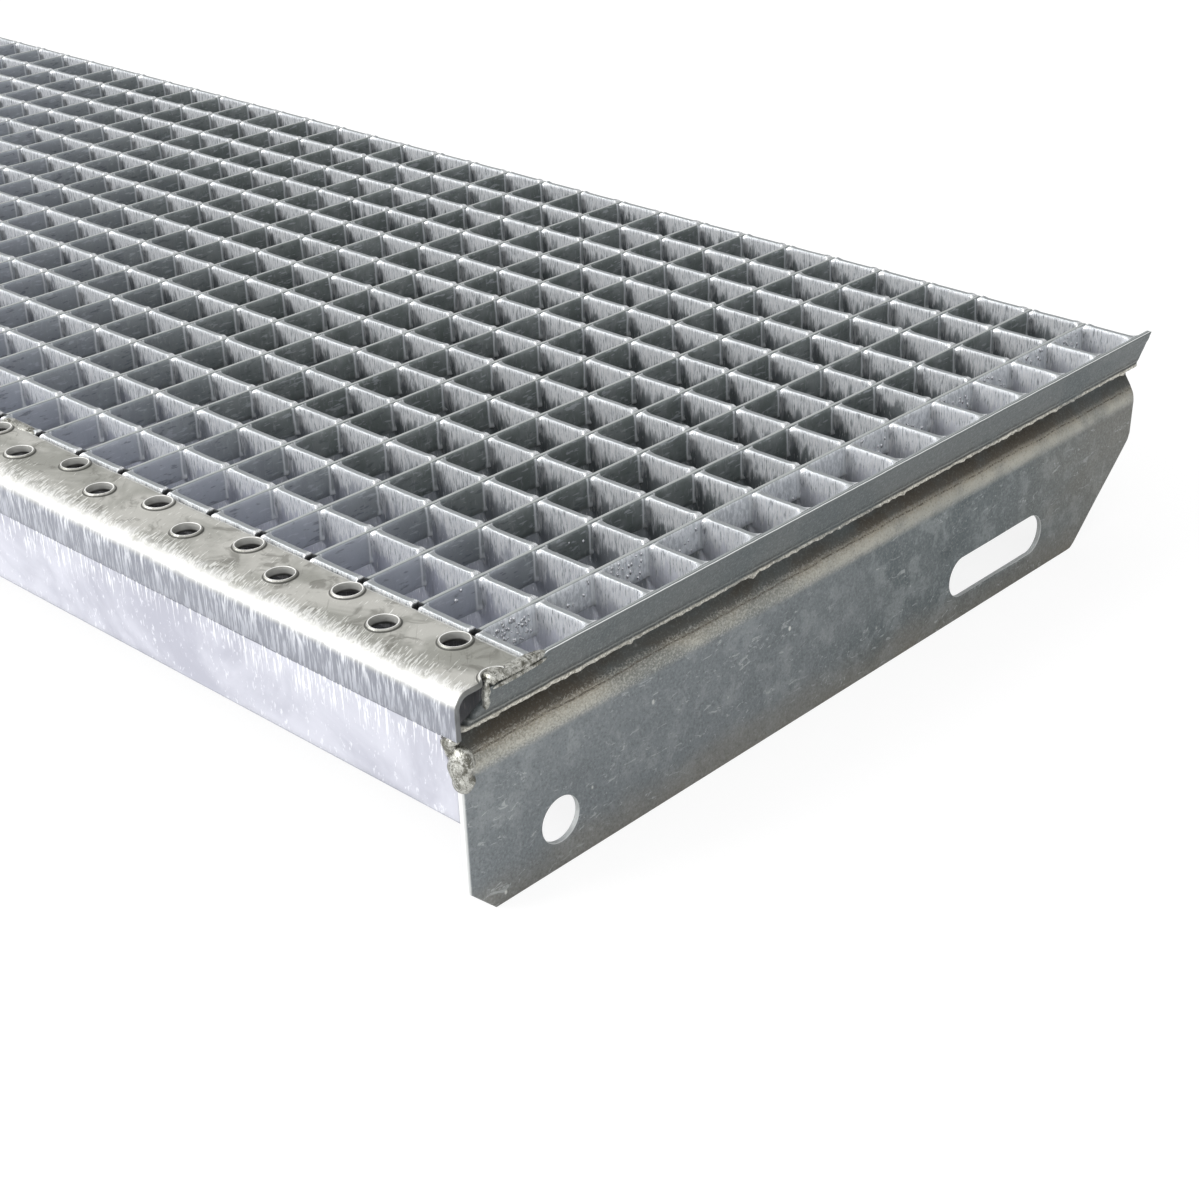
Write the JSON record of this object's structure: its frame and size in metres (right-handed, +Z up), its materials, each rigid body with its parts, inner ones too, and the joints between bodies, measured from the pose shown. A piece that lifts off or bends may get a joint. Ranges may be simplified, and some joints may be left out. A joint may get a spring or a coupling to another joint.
{
  "type": "metal stair tread",
  "caption": "Galvanised press-locked grating stair tread with a folded perforated nosing and rolled end plates with a bolt hole and a slot",
  "frame": {"origin": "on the floor plane under the middle of the tread", "axes": "+X along the tread to its right-hand end, +Y from the nosing to the rear, +Z up"},
  "size_m": [0.8, 0.324, 0.0709],
  "materials": {
    "galvanised_plate": "hot-dip galvanised, dull grey with mottled zinc",
    "galvanised_nosing": "hot-dip galvanised, smooth and bright with fine scratches",
    "galvanised_bar": "hot-dip galvanised with upright streaks",
    "galvanised_cross_bar": "hot-dip galvanised, dull grey",
    "zinc_weld": "weld bead under rough zinc"
  },
  "bodies": {
    "root": {"end_plate_right": "galvanised_plate", "end_plate_left": "galvanised_plate", "nosing": "galvanised_nosing", "front_bar": "galvanised_bar", "bearing_bar_01": "galvanised_bar", "bearing_bar_02": "galvanised_bar", "bearing_bar_03": "galvanised_bar", "bearing_bar_04": "galvanised_bar", "bearing_bar_05": "galvanised_bar", "bearing_bar_06": "galvanised_bar", "bearing_bar_07": "galvanised_bar", "bearing_bar_08": "galvanised_bar", "bearing_bar_09": "galvanised_bar", "bearing_bar_10": "galvanised_bar", "bearing_bar_11": "galvanised_bar", "bearing_bar_12": "galvanised_bar", "bearing_bar_13": "galvanised_bar", "bearing_bar_14": "galvanised_bar", "cross_bar_01": "galvanised_cross_bar", "cross_bar_02": "galvanised_cross_bar", "cross_bar_03": "galvanised_cross_bar", "cross_bar_04": "galvanised_cross_bar", "cross_bar_05": "galvanised_cross_bar", "cross_bar_06": "galvanised_cross_bar", "cross_bar_07": "galvanised_cross_bar", "cross_bar_08": "galvanised_cross_bar", "cross_bar_09": "galvanised_cross_bar", "cross_bar_10": "galvanised_cross_bar", "cross_bar_11": "galvanised_cross_bar", "cross_bar_12": "galvanised_cross_bar", "cross_bar_13": "galvanised_cross_bar", "cross_bar_14": "galvanised_cross_bar", "cross_bar_15": "galvanised_cross_bar", "cross_bar_16": "galvanised_cross_bar", "cross_bar_17": "galvanised_cross_bar", "cross_bar_18": "galvanised_cross_bar", "cross_bar_19": "galvanised_cross_bar", "cross_bar_20": "galvanised_cross_bar", "cross_bar_21": "galvanised_cross_bar", "cross_bar_22": "galvanised_cross_bar", "cross_bar_23": "galvanised_cross_bar", "cross_bar_24": "galvanised_cross_bar", "cross_bar_25": "galvanised_cross_bar", "cross_bar_26": "galvanised_cross_bar", "cross_bar_27": "galvanised_cross_bar", "cross_bar_28": "galvanised_cross_bar", "cross_bar_29": "galvanised_cross_bar", "cross_bar_30": "galvanised_cross_bar", "cross_bar_31": "galvanised_cross_bar", "cross_bar_32": "galvanised_cross_bar", "cross_bar_33": "galvanised_cross_bar", "cross_bar_34": "galvanised_cross_bar", "cross_bar_35": "galvanised_cross_bar", "front_weld_right": "zinc_weld", "front_weld_left": "zinc_weld", "top_weld_right": "zinc_weld", "top_weld_left": "zinc_weld", "nosing_stitch_welds": "zinc_weld"}
  },
  "joints": []
}
